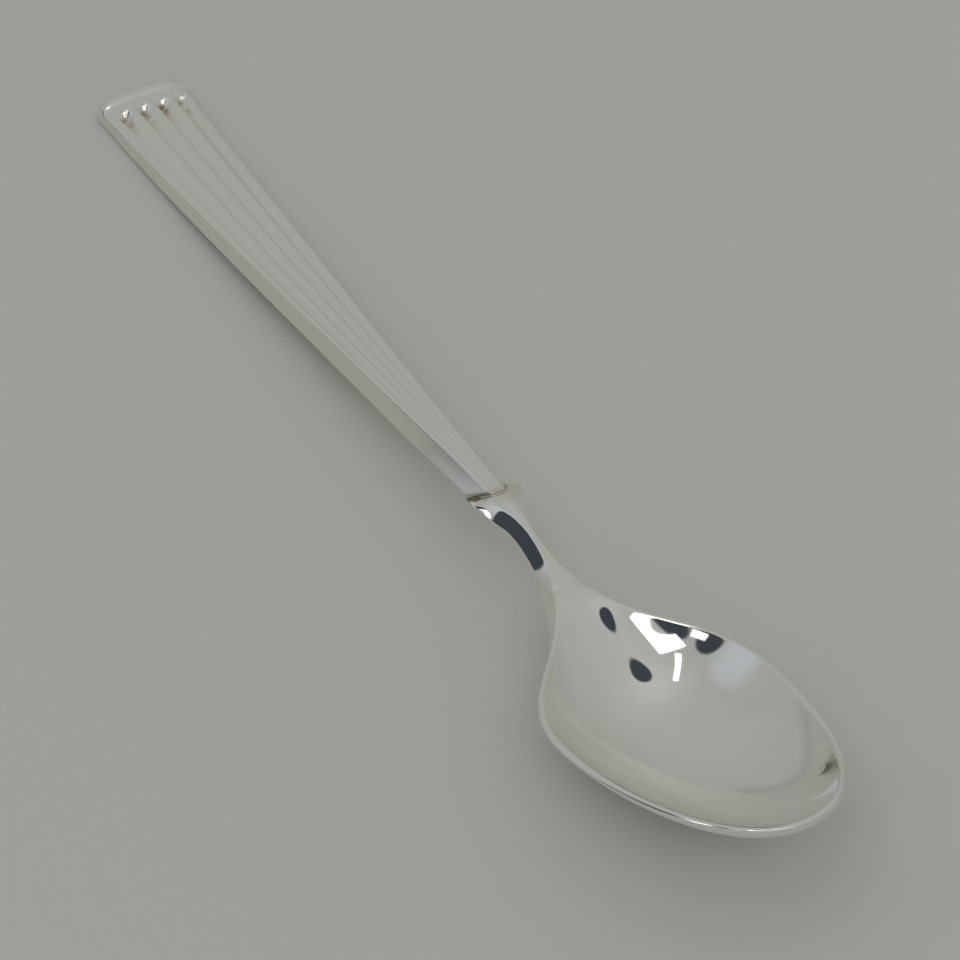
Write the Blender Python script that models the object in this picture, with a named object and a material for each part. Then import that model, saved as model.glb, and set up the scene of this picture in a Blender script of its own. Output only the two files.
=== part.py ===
"""Demitasse spoon: a hollow bowl on a neck, a fluted handle, and the solder seam that joins them.

Sizes are in millimetres.  X runs along the spoon, from the handle end to the bowl's nose; Z is up
from the table that the spoon lies on; the spoon is the same on both sides of the XZ plane.
"""
from math import cos, exp, hypot, pi, sin, sqrt

import bmesh
import bpy
from mathutils import Vector

MM = 0.001

# Overall length, middle of it at X = 0
LENGTH = 98.0
TAIL = -LENGTH / 2
NOSE = LENGTH / 2

# Slanted joint: where the ears of the shoulder end on it, its slope, and the solder in it
JOINT_X = 9.2
JOINT_Z = 5.5
JOINT_SLOPE = 0.77
SEAM_THICKNESS = 0.12
SEAM_BEAD = 0.08

# Handle: widths of its base and of its narrower top, and how full the taper between them is
HANDLE_END_WIDTH = 8.1
HANDLE_NECK_WIDTH = 3.08
BASE_TAPER = (0.64, 0.04)
TOP_END_WIDTH = 7.2
TOP_NECK_WIDTH = 0.8
TOP_TAPER = (0.76, 0.36)
TOP_CROWN = 0.5
CROWN_POWER = 4.0
CROWN_SHARE = 0.6
HANDLE_EDGE = 0.40
HANDLE_FLAT = 4.5
HANDLE_BEND = 1.8
LEAN_START = 0.8

# Height of the handle's body above its lower edge, and the plain border of its rounded end
END_BODY = 0.80
MIDDLE_BODY = 1.87
NECK_BODY = 1.5
END_CORNER = 0.9
END_BEVEL = 0.12
BORDER_WIDTH = 0.85
BORDER_SLOPE = 0.5
BORDER_HEIGHT = 0.16

# Flutes, sizes at the handle end; they fade out along a share of the handle
FLUTE_COUNT = 4
FLUTE_PITCH = 1.68
FLUTE_WIDTH = 1.6
FLUTE_DEPTH = 0.20
FLUTE_INSET = 2.0
FLUTE_START = TAIL + FLUTE_INSET
SCOOP_DEPTH = 0.36
SCOOP_LENGTH = 2.6
FADE_START = 0.45
FADE_LENGTH = 0.5

# Shoulder and neck: the top face between its creases, and the wider skirt below them
SHOULDER_WIDTH = 4.1
SHOULDER_TOP = 2.9
SHOULDER_SQUARENESS = 4.0
FLARE_NEAR = 0.3
FLARE_NEAR_SHARE = 0.7
FLARE_FAR = 2.2
FLARE_FAR_SHARE = 0.4
SKIRT_NEAR = 1.0
SKIRT_NEAR_SHARE = 0.8
SKIRT_FAR = 2.0
EAR_DROP = 0.52
EAR_ARCH = 1.5
EAR_THICKNESS = 0.5
EAR_LENGTH = 1.0
WAIST_X = 14.0
WAIST_TOP = 0.28
WAIST_WIDTH = 1.9
WAIST_SIDE = 1.1
NECK_UNDER = 3.85
NECK_LENGTH = 3.5
NECK_ROUND = 0.35
LEAN_LENGTH = 2.5

# Bowl: outline, rim and underside
BOWL_WIDTH = 16.84
BOWL_WIDEST_X = 32.0
BOWL_START = 19.5
BOWL_GROWTH = 5.0
BOWL_ROUNDNESS = 2.3
SWELL = 0.56
NOSE_PULL = 5.2
NOSE_FULLNESS = 0.8
NOSE_RADIUS = 5.5
FAN_BEND = 1.6
NOSE_Z = 10.2
NOSE_THICKNESS = 0.6
RIM_LOW_X = 24.9
RIM_LOW_Z = 4.48
RIM_ARCH_X = 15.5
RIM_ARCH = 0.28
RIM_LEVEL_X = 18.5
RIM_RISE_X = 33.0
RIM_TIP_LENGTH = 8.0
RIM_TIP_RISE = 2.0
RIM_EDGE = 0.2
RIM_SIDE = 0.22
RIM_ROUND = 0.5
RIM_LAND = 0.23
LEAST_SHARE = 0.5
BOWL_LOW_X = 30.0
KEEL_NECK_X = 16.5
KEEL_BACK_X = 22.5
KEEL_FRONT_X = 37.5
KEEL_TIP_LENGTH = 4.6
KEEL_TIP_RISE = 4.1

# Hollow of the bowl
HOLLOW_START = 18.9
HOLLOW_FULL = 20.6
HOLLOW_ROUNDNESS = 2.5
BOWL_FLOOR = 1.0
FLOOR_WALL_X = 22.5
FLOOR_WALL_DROP = 0.9
FLOOR_BACK_LENGTH = 5.0
FLOOR_FRONT_LENGTH = 7.5
FLOOR_TIP_LENGTH = 4.1
FLOOR_TIP_RISE = 3.8
LAND_START = 0.3
LAND_GROWTH = 8.0

# How finely the curves are divided: the handle's end, flute ends and shaft; the shoulder, swell and nose
HANDLE_STATIONS = (8, 18, 30)
BOWL_STATIONS = (12, 24, 22)
FLUTE_CELLS = 6
HOLLOW_CELLS = 9
UNDER_CELLS = 10

# Points closer than the distance are one point; faces at a wider angle, in radians, meet in an edge
MERGE_DISTANCE = 0.0005
SHARP_ANGLE = 0.55


def clear_scene():
    for item in list(bpy.data.objects):
        bpy.data.objects.remove(item, do_unlink=True)


def bezier(t, a, b, c, d):
    """Cubic curve from a to d, drawn toward b and c."""
    s = 1 - t
    return s * s * s * a + 3 * s * s * t * b + 3 * s * t * t * c + t * t * t * d


def bezier_at(x, a, b, c, d):
    """Second value of a cubic curve of points where its first value is x, found by halving."""
    low, high = 0.0, 1.0
    for _ in range(40):
        t = (low + high) / 2
        if bezier(t, a[0], b[0], c[0], d[0]) < x:
            low = t
        else:
            high = t
    return bezier(low, a[1], b[1], c[1], d[1])


def ease(t):
    """Smooth step from 0 to 1."""
    t = min(max(t, 0.0), 1.0)
    return t * t * (3 - 2 * t)


def quarter(t):
    """Quarter circle: 0 at t = 0, rising steeply, level at 1 from t = 1."""
    t = min(max(t, 0.0), 1.0)
    return sqrt(1 - (1 - t) ** 2)


def loft(name, rings, material, closed_nose=False):
    """A closed solid through rings of points; the last ring is capped unless it closes on itself."""
    mesh = bmesh.new()
    loops = [[mesh.verts.new(Vector(p) * MM) for p in ring] for ring in rings]
    size = len(rings[0])
    for first, second in zip(loops, loops[1:]):
        for i in range(size):
            j = (i + 1) % size
            mesh.faces.new((first[i], first[j], second[j], second[i]))
    mesh.faces.new(loops[0])
    if not closed_nose:
        mesh.faces.new(loops[-1])
    bmesh.ops.remove_doubles(mesh, verts=mesh.verts, dist=MERGE_DISTANCE * MM)
    bmesh.ops.recalc_face_normals(mesh, faces=mesh.faces)
    data = bpy.data.meshes.new(name)
    mesh.to_mesh(data)
    mesh.free()
    item = bpy.data.objects.new(name, data)
    bpy.context.collection.objects.link(item)
    data.materials.append(material)
    data.shade_smooth()
    data.set_sharp_from_angle(angle=SHARP_ANGLE)
    return item


def metal(name, colour, roughness):
    material = bpy.data.materials.new(name)
    material.use_nodes = True
    shader = material.node_tree.nodes["Principled BSDF"]
    shader.inputs["Base Color"].default_value = (*colour, 1)
    shader.inputs["Metallic"].default_value = 1.0
    shader.inputs["Roughness"].default_value = roughness
    return material


def joint_x(z, back=0.0):
    """Where the joint's plane stands at a height, moved toward the handle by a distance square to it."""
    slant = sqrt(1 + JOINT_SLOPE ** 2) / JOINT_SLOPE
    return JOINT_X + (z - JOINT_Z) / JOINT_SLOPE - back * slant


def taper(along, end_width, neck_width, fullness):
    """Half width of the handle at a share of its length."""
    end, neck = end_width / 2, neck_width / 2
    first, second = (neck + share * (end - neck) for share in fullness)
    return bezier(max(along, 0.0), end, first, second, neck)


def flute_centres():
    """Flute middles across the handle end."""
    return [FLUTE_PITCH * (i - (FLUTE_COUNT - 1) / 2) for i in range(FLUTE_COUNT)]


def flute_cut(x, along, across):
    """Depth of the flutes: a rounded deep end, then a trough that fades out toward the neck."""
    radius = FLUTE_WIDTH / 2
    ahead = x - FLUTE_START
    end = max(0.0, radius - ahead) / radius
    fade = 1 - ease((along - FADE_START) / FADE_LENGTH)
    depth = fade * (FLUTE_DEPTH + SCOOP_DEPTH * exp(-(ahead / SCOOP_LENGTH) ** 2))
    aside = min(abs(across - centre) for centre in flute_centres()) / radius
    away = min(hypot(aside, end), 1.0)
    return depth * cos(pi / 2 * away) ** 2


def handle_columns():
    """Places across the handle's top, at full end width: both edges and points over each flute."""
    half = TOP_END_WIDTH / 2
    steps = [i / FLUTE_CELLS - 0.5 for i in range(FLUTE_CELLS + 1)]
    flutes = [centre + FLUTE_WIDTH * step for centre in flute_centres() for step in steps]
    return [-half] + flutes + [half]


def handle_section(x, columns):
    """Ring round the handle at a station: fluted top, sloping sides, rounded edge and flat underside."""
    along = (x - TAIL) / (JOINT_X - TAIL)
    corner = END_CORNER * (1 - quarter((x - TAIL) / END_CORNER))
    base = taper(along, HANDLE_END_WIDTH, HANDLE_NECK_WIDTH, BASE_TAPER) - corner
    top = taper(along, TOP_END_WIDTH, TOP_NECK_WIDTH, TOP_TAPER) - corner
    flat_end = TAIL + HANDLE_FLAT
    lift = max(0.0, x - flat_end) / (JOINT_X - flat_end)
    edge_rise = JOINT_Z + EAR_DROP - NECK_BODY - HANDLE_EDGE
    edge_z = HANDLE_EDGE + edge_rise * lift ** HANDLE_BEND
    body = bezier(along, END_BODY, MIDDLE_BODY, MIDDLE_BODY, NECK_BODY)
    field = body - BORDER_HEIGHT * ease((x - TAIL - BORDER_WIDTH) / BORDER_SLOPE)
    end_slope = body * (x - TAIL) / END_BEVEL
    crown = TOP_CROWN * (1 - ease(along / CROWN_SHARE))
    squeeze = 2 * top / TOP_END_WIDTH
    ring = []
    for place in columns:
        bulge = crown * (1 - abs(2 * place / TOP_END_WIDTH) ** CROWN_POWER)
        fluted = field + bulge - squeeze * flute_cut(x, along, place)
        ring.append((place * squeeze, edge_z + min(fluted, end_slope)))
    turns = (0.0, pi / 4, pi / 2)
    under = [(base - HANDLE_EDGE * (1 - cos(a)), edge_z - HANDLE_EDGE * sin(a)) for a in turns]
    ring += under + [(0.0, edge_z - HANDLE_EDGE)] + [(-y, z) for y, z in reversed(under)]
    lean = ease((along - LEAN_START) / (1 - LEAN_START))
    return [(x + lean * (joint_x(z, SEAM_THICKNESS) - JOINT_X), y, z) for y, z in ring]


def handle_stations():
    """Stations along the handle: close together over the rounded end and the flute ends."""
    round_end, fine, coarse = HANDLE_STATIONS
    begin = TAIL + END_CORNER
    change = FLUTE_START + SCOOP_LENGTH
    corner = [begin - END_CORNER * cos(pi / 2 * i / round_end) for i in range(round_end)]
    ends = [begin + (change - begin) * i / fine for i in range(fine)]
    shaft = [change + (JOINT_X - change) * i / coarse for i in range(coarse + 1)]
    return corner + ends + shaft


def make_handle(material):
    columns = handle_columns()
    return loft("handle", [handle_section(x, columns) for x in handle_stations()], material)


def make_seam(material):
    """Solder layer: the outline of the handle's slanted end, a little larger, between two planes."""
    half = TOP_END_WIDTH / 2
    outline = handle_section(JOINT_X, [-half, half])
    heights = [z for _, _, z in outline]
    middle = (min(heights) + max(heights)) / 2
    wide = 1 + SEAM_BEAD / (HANDLE_NECK_WIDTH / 2)
    tall = 1 + SEAM_BEAD / (max(heights) - middle)
    grown = [(y * wide, middle + (z - middle) * tall) for _, y, z in outline]
    rings = [[(joint_x(z, back), y, z) for y, z in grown] for back in (SEAM_THICKNESS, 0.0)]
    return loft("solder_seam", rings, material)


def nose_section(t):
    """A section in the fan round the nose: its start on the middle line, and the rim's place it runs to."""
    wide = BOWL_WIDTH / 2
    end = bezier(t, BOWL_WIDEST_X, BOWL_WIDEST_X + NOSE_PULL, NOSE, NOSE)
    half = bezier(t, wide, wide, NOSE_FULLNESS * wide, 0.0)
    fan = NOSE - NOSE_RADIUS - BOWL_WIDEST_X
    return BOWL_WIDEST_X + fan * (1 - (1 - t) ** FAN_BEND), end, half


def sections():
    """Sections of the bowl piece: across the shoulder, neck and bowl, then fanned round the nose."""
    ear, waist, wide = SHOULDER_TOP / 2, WAIST_TOP / 2, BOWL_WIDTH / 2
    flare = ((JOINT_X + FLARE_NEAR, FLARE_NEAR_SHARE * ear), (JOINT_X + FLARE_FAR, FLARE_FAR_SHARE * ear))
    swell = WAIST_X + SWELL * (BOWL_WIDEST_X - WAIST_X)
    runs = (
        ((JOINT_X, ear), *flare, (WAIST_X, waist)),
        ((WAIST_X, waist), (swell, waist), (swell, wide), (BOWL_WIDEST_X, wide)),
    )
    *counts, fan = BOWL_STATIONS
    spots = []
    for run, count in zip(runs, counts):
        for i in range(count):
            x, half = (bezier(i / count, *values) for values in zip(*run))
            spots.append((x, x, half))
    return spots + [nose_section(i / fan) for i in range(fan + 1)]


def half_width(x, inset=0.0):
    """Half width of the bowl past its widest place, on a line that runs inside the rim at a distance."""
    low, high = 0.0, 1.0
    for _ in range(40):
        t = (low + high) / 2
        spine, end, half = nose_section(t)
        share = inset / hypot(end - spine, half)
        if end - share * (end - spine) < x:
            low = t
        else:
            high = t
    return half * (1 - share)


def skirt(x, half):
    """Half width of the shoulder and neck at their widest, below the edges of the top face."""
    ear, waist = SHOULDER_WIDTH / 2, WAIST_WIDTH / 2
    if x < WAIST_X:
        flare = (JOINT_X + SKIRT_NEAR, SKIRT_NEAR_SHARE * ear)
        return bezier_at(x, (JOINT_X, ear), flare, (JOINT_X + SKIRT_FAR, waist), (WAIST_X, waist))
    return half + waist - WAIST_TOP / 2


def rim_height(x):
    """Height of the neck's top and the bowl's rim, lowest where the bowl begins."""
    low = (RIM_LOW_X, RIM_LOW_Z)
    if x < RIM_LOW_X:
        ridge = JOINT_Z + EAR_DROP
        arch = (RIM_ARCH_X, ridge + RIM_ARCH)
        return bezier_at(x, (JOINT_X, ridge), arch, (RIM_LEVEL_X, RIM_LOW_Z), low)
    tip = (NOSE - RIM_TIP_LENGTH, NOSE_Z - RIM_TIP_RISE)
    return bezier_at(x, low, (RIM_RISE_X, RIM_LOW_Z), tip, (NOSE, NOSE_Z))


def edge_drop(x):
    """How far the outer edge falls from the crease of the shoulder or the rim to its widest line."""
    neck = EAR_THICKNESS + (WAIST_SIDE - EAR_THICKNESS) * quarter((x - JOINT_X) / EAR_LENGTH)
    rim = RIM_SIDE + (NOSE_THICKNESS - RIM_SIDE) * ease((x - BOWL_WIDEST_X) / (NOSE - BOWL_WIDEST_X))
    return neck + (rim - neck) * ease((x - BOWL_START) / BOWL_GROWTH)


def keel(x):
    """Height of the lowest line under the shoulder, neck and bowl."""
    low = (BOWL_LOW_X, 0.0)
    if x < BOWL_LOW_X:
        return bezier_at(x, (JOINT_X, NECK_UNDER), (KEEL_NECK_X, NECK_UNDER), (KEEL_BACK_X, 0.0), low)
    nose = NOSE_Z - NOSE_THICKNESS
    tip = (NOSE - KEEL_TIP_LENGTH, nose - KEEL_TIP_RISE)
    return bezier_at(x, low, (KEEL_FRONT_X, 0.0), tip, (NOSE, nose))


def hollow_floor(x):
    """Height of the lowest line inside the bowl."""
    low = (BOWL_LOW_X, BOWL_FLOOR)
    if x < BOWL_LOW_X:
        start = rim_height(HOLLOW_START)
        wall = (FLOOR_WALL_X, start - FLOOR_WALL_DROP)
        return bezier_at(x, (HOLLOW_START, start), wall, (BOWL_LOW_X - FLOOR_BACK_LENGTH, BOWL_FLOOR), low)
    nose = NOSE - RIM_EDGE - RIM_LAND
    end = rim_height(nose)
    tip = (nose - FLOOR_TIP_LENGTH, end - FLOOR_TIP_RISE)
    return bezier_at(x, low, (BOWL_LOW_X + FLOOR_FRONT_LENGTH, BOWL_FLOOR), tip, (nose, end))


def mouth_width(x, half):
    """Half width of the hollow's mouth: it opens in an arc on the neck and closes inside the nose."""
    inset = RIM_EDGE + RIM_LAND
    if x > BOWL_WIDEST_X:
        return half_width(x, inset)
    opening = min(max((HOLLOW_FULL - x) / (HOLLOW_FULL - HOLLOW_START), 0.0), 1.0)
    inset *= LAND_START + (1 - LAND_START) * ease((x - HOLLOW_START) / LAND_GROWTH)
    return max(0.0, half - inset) * sqrt(1 - opening ** 2)


def bowl_section(spine, end, half):
    """Ring round the shoulder, neck or bowl: top with its hollow, edges, and rounded underside."""
    reach = hypot(end - spine, half)
    neck = ease((end - JOINT_X) / NECK_LENGTH)
    bowl = ease((end - BOWL_START) / BOWL_GROWTH)
    rim = max(reach - bowl * RIM_EDGE, LEAST_SHARE * reach)
    side = reach + (1 - bowl) * (skirt(end, half) - half)
    power = SHOULDER_SQUARENESS + (BOWL_ROUNDNESS - SHOULDER_SQUARENESS) * neck
    mouth = mouth_width(end, half) if end < BOWL_WIDEST_X else reach - RIM_EDGE - RIM_LAND
    inner = max(mouth, LEAST_SHARE * rim)

    def spot(out):
        return spine + (end - spine) * out / reach, half * out / reach

    half_ring = []
    for out in [inner * sin(pi / 2 * i / HOLLOW_CELLS) for i in range(HOLLOW_CELLS + 1)] + [rim]:
        x, y = spot(out)
        z = rim_height(x) - EAR_DROP * (1 - neck) * (out / rim) ** EAR_ARCH
        mouth = mouth_width(x, half) if x > HOLLOW_START else 0.0
        if y < mouth:
            z -= (rim_height(x) - hollow_floor(x)) * (1 - (y / mouth) ** HOLLOW_ROUNDNESS)
        half_ring.append((x, y, z))
    bulge = NECK_ROUND + (1 - NECK_ROUND) * bowl
    for roll in (1 / 3, 2 / 3):
        x, y = spot(rim + (side - rim) * (roll + bulge * (sin(pi / 2 * roll) - roll)))
        z = rim_height(x) - EAR_DROP * (1 - neck) - edge_drop(x) * roll ** (1 + RIM_ROUND * bowl)
        half_ring.append((x, y, z))
    for i in range(UNDER_CELLS + 1):
        part = cos(pi / 2 * i / UNDER_CELLS)
        x, y = spot(side * part)
        if x > BOWL_WIDEST_X and i > 0:
            part = y / max(half_width(x), y) if y > 0 else 0.0
        edge_z = rim_height(x) - EAR_DROP * (1 - neck) - edge_drop(x)
        half_ring.append((x, y, keel(x) + (edge_z - keel(x)) * part ** power))
    ring = half_ring + [(x, -y, z) for x, y, z in reversed(half_ring[1:-1])]
    lean = max(0.0, 1 - (end - JOINT_X) / LEAN_LENGTH)
    ear_z = rim_height(end) - EAR_DROP * (1 - neck)
    return [(x + lean * (z - ear_z) / JOINT_SLOPE, y, z) for x, y, z in ring]


def make_bowl(material):
    rings = [bowl_section(*section) for section in sections()]
    return loft("bowl", rings, material, closed_nose=True)


clear_scene()
make_handle(metal("silver_handle", (0.62, 0.61, 0.57), 0.22))
make_seam(metal("tarnished_solder", (0.20, 0.17, 0.10), 0.45))
make_bowl(metal("silver_bowl", (0.66, 0.65, 0.62), 0.10))
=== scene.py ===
"""Looks of the demitasse spoon: a fluted silver handle, a tarnished solder seam and a mirror-polished bowl.

Sizes are in millimetres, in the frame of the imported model: X runs from the handle end to the bowl's
nose, Z is up from the table.  Each piece is half a grid, shaped point by point and mirrored.
"""
from math import cos, exp, hypot, log, pi, radians, sin, sqrt

import bmesh
import bpy
from mathutils import Matrix, Vector


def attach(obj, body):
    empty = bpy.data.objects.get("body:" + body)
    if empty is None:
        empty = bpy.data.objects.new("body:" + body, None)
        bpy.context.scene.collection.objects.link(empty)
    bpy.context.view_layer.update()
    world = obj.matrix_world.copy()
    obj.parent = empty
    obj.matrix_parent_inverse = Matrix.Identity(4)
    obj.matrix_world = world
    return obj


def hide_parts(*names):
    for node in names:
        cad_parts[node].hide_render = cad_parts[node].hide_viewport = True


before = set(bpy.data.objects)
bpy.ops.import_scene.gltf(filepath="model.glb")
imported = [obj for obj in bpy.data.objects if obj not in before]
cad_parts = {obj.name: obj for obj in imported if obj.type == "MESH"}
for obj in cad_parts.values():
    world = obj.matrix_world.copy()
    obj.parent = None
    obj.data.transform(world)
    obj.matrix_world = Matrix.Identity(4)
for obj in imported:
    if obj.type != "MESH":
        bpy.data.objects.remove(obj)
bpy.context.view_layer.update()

MM = 0.001
# Points nearer than this, in millimetres, are one point
MERGE_DISTANCE = 0.001
# Halvings of a range to find a place on a curve
HALVINGS = 40
# Cells of each half piece, across and along
HANDLE_CELLS = (110, 260)
SEAM_CELLS = (60, 6)
BOWL_CELLS = (110, 260)

# Overall length, middle of it at X = 0
LENGTH = 98.0
TAIL = -LENGTH / 2
NOSE = LENGTH / 2

# Slanted joint between handle and shoulder
JOINT_X = 9.2
JOINT_Z = 5.5
JOINT_SLOPE = 0.77
SEAM_THICKNESS = 0.12
SEAM_BEAD = 0.04

# Handle
HANDLE_END_WIDTH = 8.1
HANDLE_NECK_WIDTH = 3.08
BASE_TAPER = (0.75, 0.14)
TOP_END_WIDTH = 7.2
TOP_NECK_WIDTH = 0.8
TOP_TAPER = (0.76, 0.36)
TOP_CROWN = 0.5
CROWN_POWER = 4.0
CROWN_SHARE = 0.6
HANDLE_EDGE = 0.40
HANDLE_FLAT = 4.5
HANDLE_BEND = 1.42
END_CORNER = 0.9
END_BEVEL = 0.12
BORDER_WIDTH = 0.85
BORDER_HEIGHT = 0.16
BORDER_SLOPE = 0.5
END_BODY = 0.80
MIDDLE_BODY = 1.4
NECK_BODY = 1.5
LEAN_START = 0.8
RIDGE_SOFTNESS = 0.05

# Flutes, sizes at the handle end
FLUTE_COUNT = 4
FLUTE_PITCH = 1.68
FLUTE_WIDTH = 1.6
FLUTE_DEPTH = 0.28
FLUTE_INSET = 2.0
FLUTE_START = TAIL + FLUTE_INSET
SCOOP_DEPTH = 0.32
SCOOP_LENGTH = 2.6
FADE_START = 0.7
FADE_LENGTH = 0.3

# Shoulder and neck
SHOULDER_WIDTH = 4.1
SHOULDER_TOP = 2.9
SHOULDER_SQUARENESS = 4.0
FLARE_NEAR = 0.3
FLARE_NEAR_SHARE = 0.7
FLARE_FAR = 3.0
SKIRT_NEAR = 1.4
SKIRT_NEAR_SHARE = 0.9
SKIRT_FAR = 2.2
EAR_DROP = 0.52
EAR_ARCH = 1.5
EAR_THICKNESS = 0.4
EAR_LENGTH = 2.4
WAIST_X = 14.0
WAIST_TOP = 0.28
WAIST_WIDTH = 1.9
WAIST_SIDE = 1.1
NECK_UNDER = 3.85
NECK_LENGTH = 3.5
NECK_ROUND = 0.1
LEAN_LENGTH = 2.5

# Bowl
BOWL_WIDTH = 16.84
BOWL_WIDEST_X = 32.0
BOWL_ROUNDNESS = 2.3
BOWL_START = 19.5
BOWL_GROWTH = 5.0
SWELL = 0.56
NOSE_PULL = 5.2
NOSE_FULLNESS = 0.8
NOSE_RADIUS = 5.5
FAN_BEND = 1.6
NOSE_Z = 10.2
NOSE_THICKNESS = 0.6
RIM_LOW_X = 24.9
RIM_LOW_Z = 4.48
RIM_ARCH_X = 15.5
RIM_ARCH = 0.28
RIM_LEVEL_X = 18.5
RIM_RISE_X = 33.0
RIM_TIP_LENGTH = 8.0
RIM_TIP_RISE = 2.0
RIM_EDGE = 0.2
RIM_SIDE = 0.22
RIM_ROUND = 0.5
RIM_LAND = 0.23
RIM_SOFTNESS = 0.02
LEAST_SHARE = 0.5
BOWL_LOW_X = 30.0
KEEL_NECK_X = 16.5
KEEL_BACK_X = 22.5
KEEL_FRONT_X = 37.5
KEEL_TIP_LENGTH = 4.6
KEEL_TIP_RISE = 4.1

# Hollow of the bowl
HOLLOW_START = 18.9
HOLLOW_FULL = 20.6
HOLLOW_ROUNDNESS = 2.5
HOLLOW_LOW_X = 29.6
BOWL_FLOOR = 1.24
FLOOR_WALL_X = 23.4
FLOOR_WALL_DROP = 0.5
FLOOR_BACK_LENGTH = 4.2
FLOOR_FRONT_LENGTH = 6.3
FLOOR_TIP_LENGTH = 3.8
FLOOR_TIP_RISE = 3.8
LAND_START = 0.3
LAND_GROWTH = 8.0

# Camera: direction and roll in degrees, distance, and the aim's offset in pixels of the frame
VIEW_AZIMUTH = 30.951
VIEW_ELEVATION = 43.487
VIEW_ROLL = 2.165
VIEW_DISTANCE = 292.33
FOCAL_PIXELS = 4000
FRAME_PIXELS = 960
AIM_RIGHT = -47.10
AIM_UP = -8.957
SENSOR = 36
NEAREST_SEEN = 10


def bezier(t, a, b, c, d):
    """Cubic curve from a to d, drawn toward b and c."""
    s = 1 - t
    return s * s * s * a + 3 * s * s * t * b + 3 * s * t * t * c + t * t * t * d


def bezier_at(x, a, b, c, d):
    """Second value of a cubic curve of points where its first value is x, found by halving."""
    low, high = 0.0, 1.0
    for _ in range(HALVINGS):
        t = (low + high) / 2
        if bezier(t, a[0], b[0], c[0], d[0]) < x:
            low = t
        else:
            high = t
    return bezier(low, a[1], b[1], c[1], d[1])


def ease(t):
    """Smooth step from 0 to 1."""
    t = min(max(t, 0.0), 1.0)
    return t * t * (3 - 2 * t)


def quarter(t):
    """Quarter circle: 0 at t = 0, rising steeply, level at 1 from t = 1."""
    t = min(max(t, 0.0), 1.0)
    return sqrt(1 - (1 - t) ** 2)


def soft_min(a, b, softness):
    """The lower of two heights, with the corner between them rounded."""
    gap = abs(a - b)
    return min(a, b) - softness * log(1 + exp(-gap / softness))


def spread(t, marks):
    """Straight runs between marks, each a share of the way and a value."""
    for (t0, a), (t1, b) in zip(marks, marks[1:]):
        if t <= t1:
            return a + (b - a) * (t - t0) / (t1 - t0)
    return marks[-1][1]


def half_shape(name, cells, place, grooves=None):
    """A piece from a flat grid: place(u, v) puts each point, then the half is mirrored and closed."""
    shape = bmesh.new()
    bmesh.ops.create_grid(shape, x_segments=cells[0], y_segments=cells[1], size=0.5)
    depth = shape.verts.layers.float.new("groove")
    for vert in shape.verts:
        u, v = vert.co.x + 0.5, vert.co.y + 0.5
        vert.co = Vector(place(u, v)) * MM
        vert[depth] = grooves(u, v) if grooves else 0.0
    everything = shape.verts[:] + shape.edges[:] + shape.faces[:]
    bmesh.ops.mirror(shape, geom=everything, axis="Y", merge_dist=MERGE_DISTANCE * MM)
    bmesh.ops.remove_doubles(shape, verts=shape.verts, dist=MERGE_DISTANCE * MM)
    bmesh.ops.dissolve_degenerate(shape, edges=shape.edges, dist=MERGE_DISTANCE / 2 * MM)
    for face in shape.faces:
        face.smooth = True
    for face in bmesh.ops.holes_fill(shape, edges=shape.edges)["faces"]:
        face.smooth = False
    bmesh.ops.recalc_face_normals(shape, faces=shape.faces)
    data = bpy.data.meshes.new(name)
    shape.to_mesh(data)
    shape.free()
    piece = bpy.data.objects.new(name, data)
    bpy.context.collection.objects.link(piece)
    return piece


def joint_x(z, back=0.0):
    """Where the joint's plane stands at a height, moved toward the handle by a distance square to it."""
    slant = sqrt(1 + JOINT_SLOPE ** 2) / JOINT_SLOPE
    return JOINT_X + (z - JOINT_Z) / JOINT_SLOPE - back * slant


def taper(along, end_width, neck_width, fullness):
    """Half width of the handle at a share of its length."""
    end, neck = end_width / 2, neck_width / 2
    first, second = (neck + share * (end - neck) for share in fullness)
    return bezier(max(along, 0.0), end, first, second, neck)


def flute_cut(x, along, across):
    """Depth of the flutes: a rounded deep end, then a trough that fades out toward the neck."""
    radius = FLUTE_WIDTH / 2
    ahead = x - FLUTE_START
    end = max(0.0, radius - ahead) / radius
    fade = 1 - ease((along - FADE_START) / FADE_LENGTH)
    depth = fade * (FLUTE_DEPTH + SCOOP_DEPTH * exp(-(ahead / SCOOP_LENGTH) ** 2))
    centres = [FLUTE_PITCH * (i - (FLUTE_COUNT - 1) / 2) for i in range(FLUTE_COUNT)]
    aside = min(abs(across - centre) for centre in centres) / radius
    away = min(sqrt(aside ** 2 + end ** 2), 1.0)
    return depth * cos(pi / 2 * away) ** 2


# Shares of the half section: the top, the side slope, the rounded lower edge; the rest is the underside
TOP_SHARE = 0.66
SIDE_SHARE = 0.84
EDGE_SHARE = 0.92
# Shares of the rows along the handle: the rounded end, the scooped flute ends, the shaft
HANDLE_ROWS = (
    (0.0, TAIL),
    (0.06, TAIL + END_CORNER),
    (0.4, FLUTE_START + 2 * SCOOP_LENGTH),
    (1.0, JOINT_X),
)


def handle_station(v):
    """Place along the handle, and share of its length."""
    x = spread(v, HANDLE_ROWS)
    if x < TAIL + END_CORNER:
        turn = pi / 2 * (x - TAIL) / END_CORNER
        x = TAIL + END_CORNER * (1 - cos(turn))
    return x, (x - TAIL) / (JOINT_X - TAIL)


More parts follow.
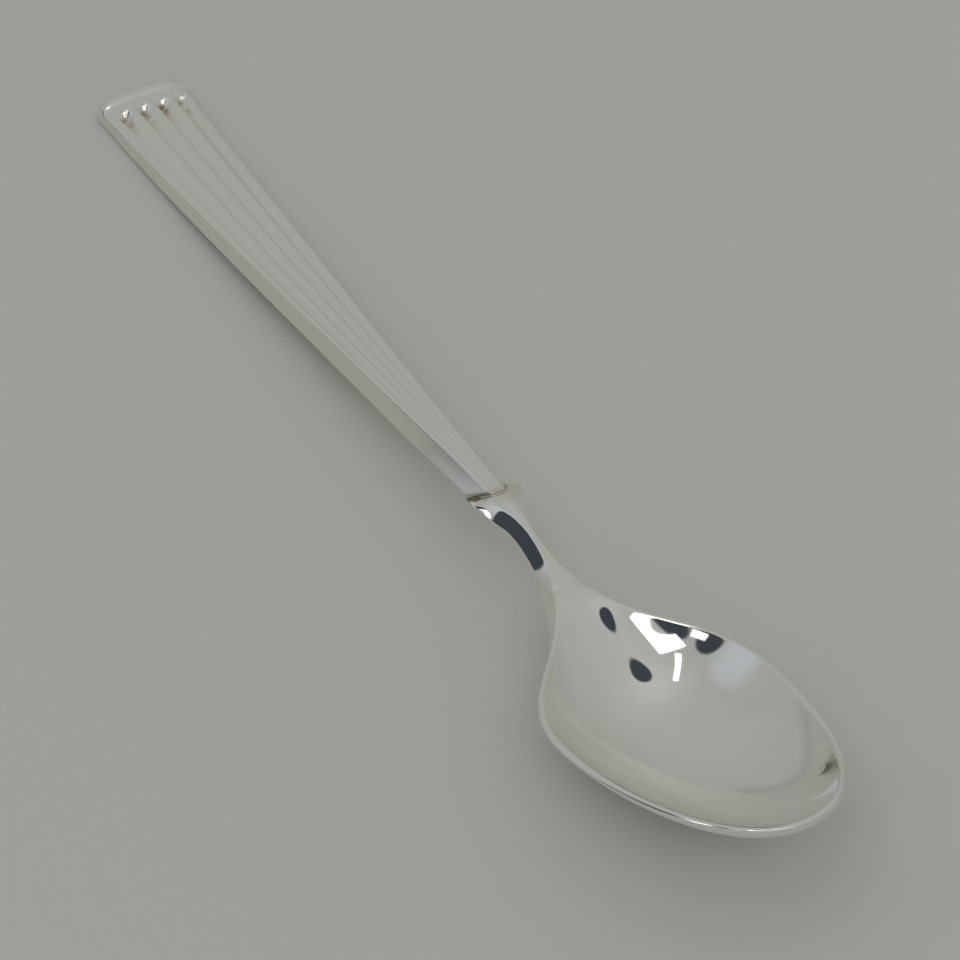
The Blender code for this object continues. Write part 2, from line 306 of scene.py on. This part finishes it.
def handle_point(u, v):
    """A point of the handle: u runs from the top's middle round to the underside, v from end to neck."""
    x, along = handle_station(v)
    corner = END_CORNER * (1 - quarter((x - TAIL) / END_CORNER))
    base = taper(along, HANDLE_END_WIDTH, HANDLE_NECK_WIDTH, BASE_TAPER) - corner
    top = taper(along, TOP_END_WIDTH, TOP_NECK_WIDTH, TOP_TAPER) - corner
    flat_end = TAIL + HANDLE_FLAT
    lift = max(0.0, x - flat_end) / (JOINT_X - flat_end)
    edge_rise = JOINT_Z + EAR_DROP - NECK_BODY - HANDLE_EDGE
    edge_z = HANDLE_EDGE + edge_rise * lift ** HANDLE_BEND
    body = bezier(along, END_BODY, MIDDLE_BODY, MIDDLE_BODY, NECK_BODY)
    if u < SIDE_SHARE:
        y = spread(u, ((0.0, 0.0), (TOP_SHARE, top), (SIDE_SHARE, base)))
        crown = TOP_CROWN * (1 - ease(along / CROWN_SHARE)) * (1 - (y / top) ** CROWN_POWER)
        crown -= BORDER_HEIGHT * ease((x - TAIL - BORDER_WIDTH) / BORDER_SLOPE)
        squeeze = 2 * top / TOP_END_WIDTH
        fluted = edge_z + body + crown - squeeze * flute_cut(x, along, y / squeeze)
        slope = edge_z + body * (base - y) / (base - top)
        end_slope = edge_z + body * (x - TAIL) / END_BEVEL
        z = soft_min(soft_min(fluted, slope, RIDGE_SOFTNESS), end_slope, RIDGE_SOFTNESS)
    elif u < EDGE_SHARE:
        turn = pi / 2 * (u - SIDE_SHARE) / (EDGE_SHARE - SIDE_SHARE)
        y = base - HANDLE_EDGE * (1 - cos(turn))
        z = edge_z - HANDLE_EDGE * sin(turn)
    else:
        y = (base - HANDLE_EDGE) * (1 - u) / (1 - EDGE_SHARE)
        z = edge_z - HANDLE_EDGE
    lean = ease((along - LEAN_START) / (1 - LEAN_START))
    return x + lean * (joint_x(z, SEAM_THICKNESS) - JOINT_X), y, z


def handle_groove(u, v):
    """How deep in a flute a point lies, from 0 to 1: dirt stays there when the rest is polished."""
    if u > TOP_SHARE:
        return 0.0
    x, along = handle_station(v)
    return flute_cut(x, along, u / TOP_SHARE * TOP_END_WIDTH / 2) / (FLUTE_DEPTH + SCOOP_DEPTH)


def seam_point(u, v):
    """Solder layer: the section of the handle's end, a little larger, between the joint's two faces."""
    _, y, z = handle_point(u, 1.0)
    _, _, high = handle_point(0.0, 1.0)
    _, _, low = handle_point(1.0, 1.0)
    middle = (high + low) / 2
    bulge = SEAM_BEAD * sin(pi * v) ** 0.5
    y *= 1 + bulge / (HANDLE_NECK_WIDTH / 2)
    z = middle + (z - middle) * (1 + bulge / (high - middle))
    return joint_x(z, SEAM_THICKNESS * (1 - v)), y, z


# Shares of the rows along the bowl piece: shoulder, neck and swelling bowl up to its widest place
WAIST_ROWS = 0.2
WIDEST_ROWS = 0.55


def plan(v):
    """A section of the bowl piece: where it starts on the middle line, and the place of the rim it runs to.

    Sections lie straight across the spoon up to the bowl's widest place and fan out round the nose.
    """
    ear, waist, wide = SHOULDER_TOP / 2, WAIST_TOP / 2, BOWL_WIDTH / 2
    swell = WAIST_X + SWELL * (BOWL_WIDEST_X - WAIST_X)
    if v <= WAIST_ROWS:
        t = v / WAIST_ROWS
        near = (JOINT_X + FLARE_NEAR, FLARE_NEAR_SHARE * ear)
        run = ((JOINT_X, ear), near, (JOINT_X + FLARE_FAR, waist), (WAIST_X, waist))
    elif v <= WIDEST_ROWS:
        t = (v - WAIST_ROWS) / (WIDEST_ROWS - WAIST_ROWS)
        run = ((WAIST_X, waist), (swell, waist), (swell, wide), (BOWL_WIDEST_X, wide))
    else:
        t = (v - WIDEST_ROWS) / (1 - WIDEST_ROWS)
        pulled = (BOWL_WIDEST_X + NOSE_PULL, wide)
        run = ((BOWL_WIDEST_X, wide), pulled, (NOSE, NOSE_FULLNESS * wide), (NOSE, 0.0))
    x, half = (bezier(t, *values) for values in zip(*run))
    if v <= WIDEST_ROWS:
        return x, x, half
    return BOWL_WIDEST_X + (NOSE - NOSE_RADIUS - BOWL_WIDEST_X) * (1 - (1 - t) ** FAN_BEND), x, half


def half_width(x, inset=0.0):
    """Half width of the bowl past its widest place, on a line that runs inside the rim at a distance."""
    low, high = WIDEST_ROWS, 1.0
    for _ in range(HALVINGS):
        v = (low + high) / 2
        spine, end, half = plan(v)
        share = inset / hypot(end - spine, half)
        if end - share * (end - spine) < x:
            low = v
        else:
            high = v
    return half * (1 - share)


def skirt(x, half):
    """Half width of the shoulder and neck at their widest, below the edges of the top face."""
    ear, waist = SHOULDER_WIDTH / 2, WAIST_WIDTH / 2
    if x < WAIST_X:
        flare = (JOINT_X + SKIRT_NEAR, SKIRT_NEAR_SHARE * ear)
        return bezier_at(x, (JOINT_X, ear), flare, (JOINT_X + SKIRT_FAR, waist), (WAIST_X, waist))
    return half + waist - WAIST_TOP / 2


def rim_height(x):
    """Height of the neck's top and the bowl's rim, lowest where the bowl begins."""
    low = (RIM_LOW_X, RIM_LOW_Z)
    if x < RIM_LOW_X:
        ridge = JOINT_Z + EAR_DROP
        arch = (RIM_ARCH_X, ridge + RIM_ARCH)
        return bezier_at(x, (JOINT_X, ridge), arch, (RIM_LEVEL_X, RIM_LOW_Z), low)
    tip = (NOSE - RIM_TIP_LENGTH, NOSE_Z - RIM_TIP_RISE)
    return bezier_at(x, low, (RIM_RISE_X, RIM_LOW_Z), tip, (NOSE, NOSE_Z))


def edge_drop(x):
    """How far the outer edge falls from the crease of the shoulder or the rim to its widest line."""
    neck = EAR_THICKNESS + (WAIST_SIDE - EAR_THICKNESS) * ease((x - JOINT_X) / EAR_LENGTH)
    rim = RIM_SIDE + (NOSE_THICKNESS - RIM_SIDE) * ease((x - BOWL_WIDEST_X) / (NOSE - BOWL_WIDEST_X))
    return neck + (rim - neck) * ease((x - BOWL_START) / BOWL_GROWTH)


def keel(x):
    """Height of the lowest line under the shoulder, neck and bowl."""
    low = (BOWL_LOW_X, 0.0)
    if x < BOWL_LOW_X:
        return bezier_at(x, (JOINT_X, NECK_UNDER), (KEEL_NECK_X, NECK_UNDER), (KEEL_BACK_X, 0.0), low)
    nose = NOSE_Z - NOSE_THICKNESS
    tip = (NOSE - KEEL_TIP_LENGTH, nose - KEEL_TIP_RISE)
    return bezier_at(x, low, (KEEL_FRONT_X, 0.0), tip, (NOSE, nose))


def hollow_floor(x):
    """Height of the lowest line inside the bowl."""
    low = (HOLLOW_LOW_X, BOWL_FLOOR)
    if x < HOLLOW_LOW_X:
        start = rim_height(HOLLOW_START)
        wall = (FLOOR_WALL_X, start - FLOOR_WALL_DROP)
        back = (HOLLOW_LOW_X - FLOOR_BACK_LENGTH, BOWL_FLOOR)
        return bezier_at(x, (HOLLOW_START, start), wall, back, low)
    nose = NOSE - RIM_EDGE - RIM_LAND
    end = rim_height(nose)
    tip = (nose - FLOOR_TIP_LENGTH, end - FLOOR_TIP_RISE)
    return bezier_at(x, low, (HOLLOW_LOW_X + FLOOR_FRONT_LENGTH, BOWL_FLOOR), tip, (nose, end))


def mouth_width(x, half):
    """Half width of the hollow's mouth: it opens in an arc on the neck and closes inside the nose."""
    inset = RIM_EDGE + RIM_LAND
    if x > BOWL_WIDEST_X:
        return half_width(x, inset)
    opening = min(max((HOLLOW_FULL - x) / (HOLLOW_FULL - HOLLOW_START), 0.0), 1.0)
    inset *= LAND_START + (1 - LAND_START) * ease((x - HOLLOW_START) / LAND_GROWTH)
    return max(0.0, half - inset) * sqrt(1 - opening ** 2)


# Shares of the bowl's half section: the hollow, the rim's land, its rounded edge; the rest is the underside
HOLLOW_SHARE = 0.42
LAND_SHARE = 0.5
ROLL_SHARE = 0.58


def bowl_point(u, v):
    """A point of the bowl piece: u runs from the hollow over the rim to the keel, v from joint to nose."""
    spine, end, half = plan(v)
    reach = hypot(end - spine, half)
    neck = ease((end - JOINT_X) / NECK_LENGTH)
    bowl = ease((end - BOWL_START) / BOWL_GROWTH)
    rim = max(reach - bowl * RIM_EDGE, LEAST_SHARE * reach)
    side = reach + (1 - bowl) * (skirt(end, half) - half)
    if u < LAND_SHARE:
        mouth = mouth_width(end, half) if end < BOWL_WIDEST_X else reach - RIM_EDGE - RIM_LAND
        out = spread(u, ((0.0, 0.0), (HOLLOW_SHARE, max(mouth, LEAST_SHARE * rim)), (LAND_SHARE, rim)))
    elif u < ROLL_SHARE:
        roll = (u - LAND_SHARE) / (ROLL_SHARE - LAND_SHARE)
        bulge = NECK_ROUND + (1 - NECK_ROUND) * bowl
        out = rim + (side - rim) * (roll + bulge * (sin(pi / 2 * roll) - roll))
    else:
        part = cos(pi / 2 * (u - ROLL_SHARE) / (1 - ROLL_SHARE))
        out = side * part
    x = spine + (end - spine) * out / reach
    y = half * out / reach
    top_z = rim_height(x)
    ear_z = top_z - EAR_DROP * (1 - neck)
    if u < LAND_SHARE:
        z = top_z + (ear_z - top_z) * (out / rim) ** EAR_ARCH
        mouth = mouth_width(x, half) if x > HOLLOW_START else 0.0
        if mouth > MERGE_DISTANCE:
            deep = top_z - hollow_floor(x)
            z = soft_min(z - deep * (1 - (y / mouth) ** HOLLOW_ROUNDNESS), z, RIM_SOFTNESS)
    elif u < ROLL_SHARE:
        z = ear_z - edge_drop(x) * roll ** (1 + RIM_ROUND * bulge)
    else:
        power = SHOULDER_SQUARENESS + (BOWL_ROUNDNESS - SHOULDER_SQUARENESS) * neck
        if x > BOWL_WIDEST_X:
            part = min(y / max(half_width(x), y, MERGE_DISTANCE), 1.0)
        low_z = keel(x)
        z = low_z + (ear_z - edge_drop(x) - low_z) * part ** power
    lean = max(0.0, 1 - (end - JOINT_X) / LEAN_LENGTH)
    return x + lean * (z - ear_z) / JOINT_SLOPE, y, z


def linear(code):
    """Linear colour of an sRGB hex code."""
    values = [int(code[i:i + 2], 16) / 255 for i in (1, 3, 5)]
    return [v / 12.92 if v <= 0.04045 else ((v + 0.055) / 1.055) ** 2.4 for v in values] + [1.0]


def add(tree, kind, output, settings=(), links=()):
    """Adds a node and gives one of its outputs: settings are attributes or input values, links feed inputs.

    Inputs that share a name with another are given by their number.
    """
    node = tree.nodes.new(kind)
    for name, value in dict(settings).items():
        if isinstance(name, int) or (name in node.inputs and not hasattr(node, name)):
            node.inputs[name].default_value = value
        else:
            setattr(node, name, value)
    for name, source in dict(links).items():
        tree.links.new(source, node.inputs[name])
    return node.outputs[output]


def new_material(name):
    """A material with its node tree and its shader."""
    material = bpy.data.materials.new(name)
    material.use_nodes = True
    tree = material.node_tree
    return material, tree, tree.nodes["Principled BSDF"]


# Real sizes of the patterns, in millimetres; three values run along X, Y and Z
TARNISH_CLOUD = (9, 9, 9)
BUFFING_WAVE = (3, 3, 3)
BUFFING_DEPTH = 0.002
SPECK = (0.6, 0.6, 0.6)
STAIN_REACH = 0.6
SOLDER_GRAIN = (0.4, 0.4, 0.4)
SOLDER_PITS = 0.02
BRUSHING_DEPTH = 0.0006
# Real wiping and brushing marks are a few thousandths wide; they are drawn coarser, so that they show
HAIRLINE = (4.0, 0.05, 0.05)
BRUSHING = (6.0, 0.06, 0.06)
# Heights on the solder: tarnish is full up to the first and mostly wiped off from the second
TARNISH_LOW = 5.0
TARNISH_HIGH = 5.8


def mottle(tree, patch, detail=2.0):
    """Random pattern from 0 to 1 with patches of a real size, in millimetres along X, Y and Z."""
    place = add(tree, "ShaderNodeTexCoord", "Object")
    scale = [1 / (size * MM) for size in patch]
    space = add(tree, "ShaderNodeMapping", "Vector", {"Scale": scale}, {"Vector": place})
    return add(tree, "ShaderNodeTexNoise", "Fac", {"Scale": 1.0, "Detail": detail}, {"Vector": space})


def joint_stain(tree, reach):
    """Share of tarnish specks beside the solder joint, thinning out to nothing at a distance from it."""
    place = add(tree, "ShaderNodeTexCoord", "Object")
    facing = Vector((JOINT_SLOPE, 0, -1)).normalized()
    level = facing.dot(Vector((JOINT_X, 0, JOINT_Z)) * MM)
    ahead = add(tree, "ShaderNodeVectorMath", "Value", {"operation": "DOT_PRODUCT", 1: facing}, {0: place})
    past = add(tree, "ShaderNodeMath", "Value", {"operation": "SUBTRACT", 1: level}, {0: ahead})
    away = add(tree, "ShaderNodeMath", "Value", {"operation": "ABSOLUTE"}, {0: past})
    limits = {"From Max": reach * MM, "To Min": 1.0, "To Max": 0.0}
    near = add(tree, "ShaderNodeMapRange", "Result", limits, {"Value": away})
    specks = mottle(tree, SPECK)
    return add(tree, "ShaderNodeMath", "Value", {"operation": "MULTIPLY"}, {0: near, 1: specks})


def mirror_polished_silver():
    """Buffed sterling silver: a near white mirror, with wiping hairlines and a breath of yellow tarnish."""
    material, tree, shader = new_material("mirror_polished_silver")
    shader.inputs["Metallic"].default_value = 1.0
    limits = {"From Min": 0.45, "From Max": 0.7, "To Max": 0.3}
    breath = add(tree, "ShaderNodeMapRange", "Result", limits, {"Value": mottle(tree, TARNISH_CLOUD)})
    stain = joint_stain(tree, STAIN_REACH)
    tarnish = add(tree, "ShaderNodeMath", "Value", {"operation": "MAXIMUM"}, {0: breath, 1: stain})
    colours = {"data_type": "RGBA", 6: linear("#f4f3f0"), 7: linear("#dcd6c4")}
    colour = add(tree, "ShaderNodeMix", 2, colours, {"Factor": tarnish})
    limits = {"From Min": 0.4, "From Max": 0.75, "To Min": 0.03, "To Max": 0.08}
    gloss = add(tree, "ShaderNodeMapRange", "Result", limits, {"Value": mottle(tree, HAIRLINE)})
    depth = {"Distance": BUFFING_DEPTH * MM}
    waves = add(tree, "ShaderNodeBump", "Normal", depth, {"Height": mottle(tree, BUFFING_WAVE)})
    tree.links.new(colour, shader.inputs["Base Color"])
    tree.links.new(gloss, shader.inputs["Roughness"])
    tree.links.new(waves, shader.inputs["Normal"])
    return material


def softly_polished_silver():
    """Die-struck sterling silver, softly polished: satin along the handle, brown tarnish in flute ends."""
    material, tree, shader = new_material("softly_polished_silver")
    shader.inputs["Metallic"].default_value = 1.0
    groove = add(tree, "ShaderNodeAttribute", "Fac", {"attribute_name": "groove"})
    limits = {"From Min": 0.55, "From Max": 0.95}
    deep = add(tree, "ShaderNodeMapRange", "Result", limits, {"Value": groove})
    limits = {"From Min": 0.4, "From Max": 0.65}
    specks = add(tree, "ShaderNodeMapRange", "Result", limits, {"Value": mottle(tree, SPECK, detail=4.0)})
    dirt = add(tree, "ShaderNodeMath", "Value", {"operation": "MULTIPLY"}, {0: deep, 1: specks})
    stain = joint_stain(tree, STAIN_REACH)
    tarnish = add(tree, "ShaderNodeMath", "Value", {"operation": "MAXIMUM"}, {0: dirt, 1: stain})
    colours = {"data_type": "RGBA", 6: linear("#f1efe9"), 7: linear("#8d7747")}
    colour = add(tree, "ShaderNodeMix", 2, colours, {"Factor": tarnish})
    brushing = mottle(tree, BRUSHING)
    limits = {"From Min": 0.3, "From Max": 0.7, "To Min": 0.11, "To Max": 0.21}
    gloss = add(tree, "ShaderNodeMapRange", "Result", limits, {"Value": brushing})
    depth = {"Strength": 0.6, "Distance": BRUSHING_DEPTH * MM}
    grain = add(tree, "ShaderNodeBump", "Normal", depth, {"Height": brushing})
    tree.links.new(colour, shader.inputs["Base Color"])
    tree.links.new(gloss, shader.inputs["Roughness"])
    tree.links.new(grain, shader.inputs["Normal"])
    return material


def tarnished_solder():
    """Silver solder: wiped bright on top, but dull, pitted and mottled olive brown down at its sides."""
    material, tree, shader = new_material("tarnished_solder")
    shader.inputs["Metallic"].default_value = 1.0
    grain = mottle(tree, SOLDER_GRAIN, detail=5.0)
    place = add(tree, "ShaderNodeTexCoord", "Object")
    height = add(tree, "ShaderNodeSeparateXYZ", "Z", links={"Vector": place})
    limits = {"From Min": TARNISH_LOW * MM, "From Max": TARNISH_HIGH * MM, "To Min": 1.0, "To Max": 0.15}
    low = add(tree, "ShaderNodeMapRange", "Result", limits, {"Value": height})
    limits = {"From Min": 0.3, "From Max": 0.6, "To Min": 0.5}
    patchy = add(tree, "ShaderNodeMapRange", "Result", limits, {"Value": grain})
    tarnish = add(tree, "ShaderNodeMath", "Value", {"operation": "MULTIPLY"}, {0: low, 1: patchy})
    colours = {"data_type": "RGBA", 6: linear("#e6e3da"), 7: linear("#8d7f5c")}
    colour = add(tree, "ShaderNodeMix", 2, colours, {"Factor": tarnish})
    limits = {"From Min": 0.3, "From Max": 0.7, "To Min": 0.55, "To Max": 0.3}
    gloss = add(tree, "ShaderNodeMapRange", "Result", limits, {"Value": grain})
    depth = {"Strength": 0.5, "Distance": SOLDER_PITS * MM}
    pits = add(tree, "ShaderNodeBump", "Normal", depth, {"Height": grain})
    tree.links.new(colour, shader.inputs["Base Color"])
    tree.links.new(gloss, shader.inputs["Roughness"])
    tree.links.new(pits, shader.inputs["Normal"])
    return material


def dress(piece, node, material):
    """Gives a piece its material, hangs it under the root body and hides the imported solid it stands for.
    """
    piece.data.materials.append(material)
    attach(piece, "root")
    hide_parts(node)


def make_spoon():
    """The three pieces, each standing for one solid."""
    handle = half_shape("fluted_handle", HANDLE_CELLS, handle_point, handle_groove)
    dress(handle, "handle", softly_polished_silver())
    seam = half_shape("solder_bead", SEAM_CELLS, seam_point)
    dress(seam, "solder_seam", tarnished_solder())
    bowl = half_shape("polished_bowl", BOWL_CELLS, bowl_point)
    dress(bowl, "bowl", mirror_polished_silver())


# Metres from the spoon to the floor's edges
FLOOR_REACH = 3.0


def make_floor():
    """A plain pale board that the spoon lies on."""
    shape = bmesh.new()
    bmesh.ops.create_grid(shape, x_segments=1, y_segments=1, size=FLOOR_REACH)
    data = bpy.data.meshes.new("floor")
    shape.to_mesh(data)
    shape.free()
    floor = bpy.data.objects.new("floor", data)
    bpy.context.collection.objects.link(floor)
    material, _, shader = new_material("pale_matt_board")
    shader.inputs["Base Color"].default_value = linear("#dcdcd7")
    shader.inputs["Roughness"].default_value = 0.9
    data.materials.append(material)


def make_camera():
    """The photograph's view."""
    azimuth, elevation, roll = (radians(a) for a in (VIEW_AZIMUTH, VIEW_ELEVATION, VIEW_ROLL))
    toward = Vector((cos(elevation) * cos(azimuth), -cos(elevation) * sin(azimuth), sin(elevation)))
    level = (-toward).cross(Vector((0, 0, 1))).normalized()
    upright = level.cross(-toward)
    right = level * cos(roll) + upright * sin(roll)
    up = upright * cos(roll) - level * sin(roll)
    pixel = VIEW_DISTANCE / FOCAL_PIXELS
    place = toward * VIEW_DISTANCE - right * AIM_RIGHT * pixel + up * AIM_UP * pixel
    data = bpy.data.cameras.new("camera")
    data.sensor_width = SENSOR
    data.lens = FOCAL_PIXELS * SENSOR / FRAME_PIXELS
    data.clip_start = NEAREST_SEEN * MM
    camera = bpy.data.objects.new("camera", data)
    bpy.context.collection.objects.link(camera)
    turn = Matrix((right, up, toward)).transposed().to_4x4()
    camera.matrix_world = Matrix.Translation(place * MM) @ turn
    bpy.context.scene.camera = camera


def aim(azimuth, elevation):
    """Direction from the spoon, in degrees from +X toward +Y and above the table."""
    a, e = radians(azimuth), radians(elevation)
    return Vector((cos(e) * cos(a), cos(e) * sin(a), sin(e)))


# Light panels: both ends of each, as azimuth and elevation in degrees from the spoon, and width in degrees
PANELS = {
    "window": ((-42, 58), (-66, 40), 9),
    "side_window": ((-68, 51), (-115, 73), 5),
    "spot": ((-69, 32), (-81, 31), 4.5),
    "low_window": ((-92, 27), (-98, 8), 8),
    "front_window": ((10, 48), (-37, 50), 10),
}
# Metres from the spoon to each panel, and the brightness of its face
PANEL_DISTANCE = 2.0
PANEL_GLOW = 1.2

# Brightness of the tent by the sine of the elevation, and its tint
TENT = ((0.0, 0.31), (0.05, 0.37), (0.5, 0.41), (0.75, 0.42), (0.9, 0.45), (1.0, 0.50))
TENT_TINT = (0.985, 1.0, 0.975)

# Patches of the tent: azimuth, elevation, radius of the core and of the soft fringe, in degrees, and colour
PATCHES = (
    (-121, 25, 2, 25, "#b9bfc6"),
    (-87, 31, 9, 12, "#3c4248"),
    (-60, 34, 6, 9, "#3c4248"),
    (-118, 8, 12, 13.5, "#3c4248"),
    (27, 78, 7.3, 9, "#3c4248"),
)


def make_panel(name, start, end, width):
    """An area lamp whose long sides run between two directions, facing the spoon."""
    first, last = aim(*start), aim(*end)
    back = (first + last).normalized()
    along = (last - first).normalized()
    data = bpy.data.lights.new(name, "AREA")
    data.shape = "RECTANGLE"
    data.size = PANEL_DISTANCE * (last - first).length
    data.size_y = PANEL_DISTANCE * radians(width)
    data.energy = PANEL_GLOW * pi * data.size * data.size_y
    lamp = bpy.data.objects.new(name, data)
    bpy.context.collection.objects.link(lamp)
    turn = Matrix((along, back.cross(along), back)).transposed().to_4x4()
    lamp.matrix_world = Matrix.Translation(back * PANEL_DISTANCE) @ turn


def make_light():
    """A pale tent, brighter overhead, with dark openings, a soft glow and light panels."""
    world = bpy.data.worlds.new("studio")
    bpy.context.scene.world = world
    world.use_nodes = True
    tree = world.node_tree
    where = add(tree, "ShaderNodeTexCoord", "Generated")
    height = add(tree, "ShaderNodeSeparateXYZ", "Z", links={"Vector": where})
    colour = add(tree, "ShaderNodeValToRGB", "Color", links={"Fac": height})
    stops = colour.node.color_ramp.elements
    while len(stops) < len(TENT):
        stops.new(0.5)
    for stop, (place, glow) in zip(stops, TENT):
        stop.position = place
        stop.color = [glow * tint for tint in TENT_TINT] + [1]
    for azimuth, elevation, core, fringe, code in PATCHES:
        middle = {"operation": "DOT_PRODUCT", 1: aim(azimuth, elevation)}
        facing = add(tree, "ShaderNodeVectorMath", "Value", middle, {0: where})
        limits = {"From Min": cos(radians(fringe)), "From Max": cos(radians(core))}
        limits["interpolation_type"] = "SMOOTHSTEP"
        share = add(tree, "ShaderNodeMapRange", "Result", limits, {"Value": facing})
        patch = {"data_type": "RGBA", 7: linear(code)}
        colour = add(tree, "ShaderNodeMix", 2, patch, {"Factor": share, 6: colour})
    seen = add(tree, "ShaderNodeLightPath", "Is Camera Ray")
    backdrop = {"data_type": "RGBA", 7: linear("#b4b4b0")}
    shown = add(tree, "ShaderNodeMix", 2, backdrop, {"Factor": seen, 6: colour})
    tree.links.new(shown, tree.nodes["Background"].inputs["Color"])
    for name, panel in PANELS.items():
        make_panel(name, *panel)


make_spoon()
make_floor()
make_camera()
make_light()
bpy.context.scene.view_settings.view_transform = "Standard"
# Light goes to and fro many times between the walls of the polished hollow
bpy.context.scene.cycles.glossy_bounces = 12
